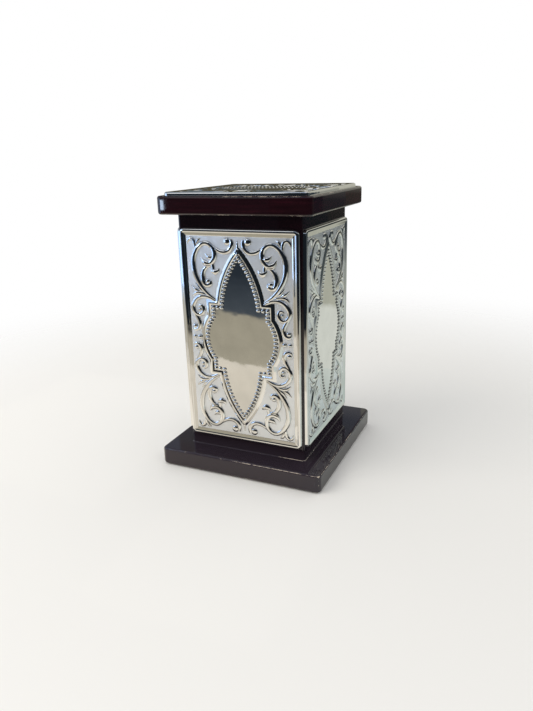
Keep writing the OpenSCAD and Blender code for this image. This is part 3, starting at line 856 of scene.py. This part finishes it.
# Cards round the box, for the polished metal to mirror. Each stands on a line from one end to the
# other, and has a gain and then a colour at each height. Places and heights are in millimetres.
CARDS = [
    # In front on the left: a bright panel over a pale foot
    [(-195, -195), (-152, -195), 1, (0, "#d0c8b8"), (45, "#c8c4ba"), (55, "#c0ccd8")],
    [(-195, -195), (-169, -195), 4, (55, "#a8ccff"), (205, "#a8ccff")],
    [(-195, -195), (-152, -195), 1, (205, "#a8b4c4"), (1500, "#a0a8b0")],
    # In front: a dark panel, with a bright strip near its top
    [(-170, -209), (-45, -187), 1, (0, "#b8b2a0"), (39, "#b4ae9c"), (42, "#4f5760"),
     (74, "#2e3640"), (205, "#282f38")],
    [(-170, -209), (-45, -187), 1, (205, "#7c98c0"), (1500, "#90a4c0")],
    [(-160, -200), (-40, -184), 1.5, (195, "#f0f4fa"), (290, "#f0f4fa")],
    # Three small panes, which glint on the lid's corner
    [(-165, -194), (-158, -194), 18, (122, "#cfe4ff"), (132, "#cfe4ff")],
    [(-155, -194), (-148, -194), 18, (122, "#cfe4ff"), (132, "#cfe4ff")],
    [(-145, -194), (-138, -194), 18, (122, "#cfe4ff"), (132, "#cfe4ff")],
    # In front on the right
    [(-60, -195), (195, -195), 1, (0, "#d0c8b8"), (24, "#c4bcac"), (34, "#1c2228"),
     (230, "#1c2228"), (240, "#a8b8d0"), (1500, "#b0c4e0")],
    # On the right, from the front to the back
    [(195, -195), (195, -20), 1, (0, "#c8c8bc"), (36, "#c4c6ba"), (42, "#22282f"),
     (200, "#22282f"), (300, "#8a9098")],
    [(195, -20), (195, 195), 1, (0, "#bcc4c0"), (60, "#b4bcb8"), (85, "#8a9194"),
     (105, "#50585a"), (200, "#40484c"), (220, "#c8ccc4"), (300, "#d8dcd4")],
    # Behind, from the right to the left
    [(195, 195), (118, 195), 1, (0, "#ccd4cc"), (33, "#ccd4cc"), (38, "#a8aa9e"), (60, "#90948c"),
     (80, "#5c6264"), (92, "#2c3236"), (150, "#1c2a38"), (180, "#c8c8bc"), (400, "#d4d4c8")],
    [(118, 195), (98, 195), 1, (0, "#e4e8e0"), (33, "#e4e8e0"), (38, "#bcbeb0"), (80, "#bcbeb0"),
     (92, "#2c3236"), (125, "#3a4448"), (160, "#c8c8bc"), (400, "#d4d4c8")],
    [(98, 195), (0, 195), 1, (0, "#e4e8e0"), (33, "#e4e8e0"), (38, "#bcbeb0"), (80, "#bcbeb0"),
     (92, "#2c3236"), (110, "#444644"), (130, "#56534c"), (145, "#c8c8bc"), (400, "#d4d4c8")],
    [(0, 195), (-195, 195), 1, (0, "#dcdeda"), (60, "#b4b8b4"), (90, "#6a7680"), (140, "#60665f"),
     (155, "#5a5646"), (500, "#5a5648"), (1500, "#6c6a60")],
    # On the left, from the back to the front
    [(-195, 195), (-195, -30), 1, (0, "#ccd0d0"), (60, "#bcc4c8"), (110, "#7c8a96"),
     (300, "#707c84"), (500, "#6c6e6c"), (1500, "#84847c")],
    [(-195, -30), (-195, -195), 1, (0, "#d0c8b8"), (45, "#c8c4ba"), (55, "#c0ccd8")],
    [(-195, -30), (-195, -100), 2, (55, "#c8dcf4"), (205, "#c8dcf4")],
    [(-195, -100), (-195, -195), 1.5, (55, "#b0d0ff"), (205, "#b0d0ff")],
    [(-195, -30), (-195, -195), 1, (205, "#a8b4c4"), (1500, "#a0a8b0")],
]

# Patches that lie this far above the floor, in millimetres, and make it brighter or darker in the
# metal: two corners in millimetres, a gain, and the colours of the front and the rear edge. The
# first two are painted pools of light on the floor, the last two a painted shadow behind the box
# on the right that fades towards the back.
PATCH_H = 0.5
PATCHES = [
    # Painted pools of light: on the left, and in front of the box
    [(-195, -95), (-55, 60), 1.3, "#f4eee2", "#f4eee2"],
    [(-18, -150), (60, -64), 1.2, "#f4eee2", "#f4eee2"],
    # A painted shadow on the right, behind the box, fading towards the back
    [(54, 30), (195, 134), 1, "#bccdc9", "#dae2dc"],
    [(54, 134), (195, 195), 1, "#e4e8e0", "#e4e8e0"],
]


def add_card(bm, corners, gain):
    """One flat card through these corners, each with its own colour."""
    shade = bm.loops.layers.float_color["shade"]
    face = bm.faces.new([bm.verts.new(Vector(corner) * MM) for corner, _ in corners])
    for loop, (_, hex_colour) in zip(face.loops, corners):
        loop[shade] = Vector(linear(hex_colour)) * gain


card_paper, tree, place = new_material("studio_cards")
printed = add(tree, "Attribute", attribute_name="shade")
surface(tree, add(tree, "Emission", {"Color": printed.outputs["Color"], "Strength": 1}))
bm = bmesh.new()
bm.loops.layers.float_color.new("shade")
for start, end, gain, *bands in CARDS:
    for (bottom, low_hex), (top, high_hex) in zip(bands, bands[1:]):
        add_card(bm, [((*start, bottom), low_hex), ((*end, bottom), low_hex),
                      ((*end, top), high_hex), ((*start, top), high_hex)], gain)
for (left, front), (right, rear), gain, front_hex, rear_hex in PATCHES:
    add_card(bm, [((left, front, PATCH_H), front_hex), ((right, front, PATCH_H), front_hex),
                  ((right, rear, PATCH_H), rear_hex), ((left, rear, PATCH_H), rear_hex)], gain)
cards = stage_mesh(bm, "cards", card_paper)
cards.visible_camera = cards.visible_diffuse = cards.visible_shadow = False

world = bpy.data.worlds.new("white_room")
bpy.context.scene.world = world
world.use_nodes = True
tree = world.node_tree
tree.nodes.clear()
path = add(tree, "LightPath")
seen = add(tree, "Math", {0: path.outputs["Is Camera Ray"], 1: path.outputs["Is Glossy Ray"]},
           operation="MAXIMUM")
seen = add(tree, "Math", {0: seen.outputs[0], 1: path.outputs["Is Transmission Ray"]},
           operation="MAXIMUM")
level = add(tree, "MapRange", {"Value": seen.outputs[0], "To Min": ROOM_LIGHT, "To Max": 1})
light = add(tree, "Background", {"Color": (1, 1, 1, 1), "Strength": level.outputs[0]})
add(tree, "OutputWorld", {"Surface": light.outputs[0]})

softbox = bpy.data.lights.new("softbox", "AREA")
softbox.energy = SOFTBOX_WATTS
softbox.size = SOFTBOX_SIZE
softbox.color = linear("#fffaf2")[:3]
lamp = bpy.data.objects.new("softbox", softbox)
bpy.context.scene.collection.objects.link(lamp)
lamp.location = SOFTBOX_PLACE
lamp.rotation_euler = (SOFTBOX_AIM - SOFTBOX_PLACE).to_track_quat("-Z", "Y").to_euler()


# Camera. It stands where the photograph was taken from: in front, to the right and a little
# above the lid.
CAMERA_PLACE = Vector((135.1, -298.5, 161.5)) * MM
CAMERA_RIGHT = Vector((0.912296, 0.408565, -0.028117))
CAMERA_UP = Vector((-0.103122, 0.295624, 0.949722))
CAMERA_LENS = 30.94

view = bpy.data.cameras.new("camera")
view.lens = CAMERA_LENS
view.clip_start = 0.01
camera = bpy.data.objects.new("camera", view)
bpy.context.scene.collection.objects.link(camera)
back = CAMERA_RIGHT.cross(CAMERA_UP)
camera.matrix_world = Matrix((CAMERA_RIGHT, CAMERA_UP, back)).transposed().to_4x4()
camera.location = CAMERA_PLACE
bpy.context.scene.camera = camera
bpy.context.scene.view_settings.view_transform = "Standard"
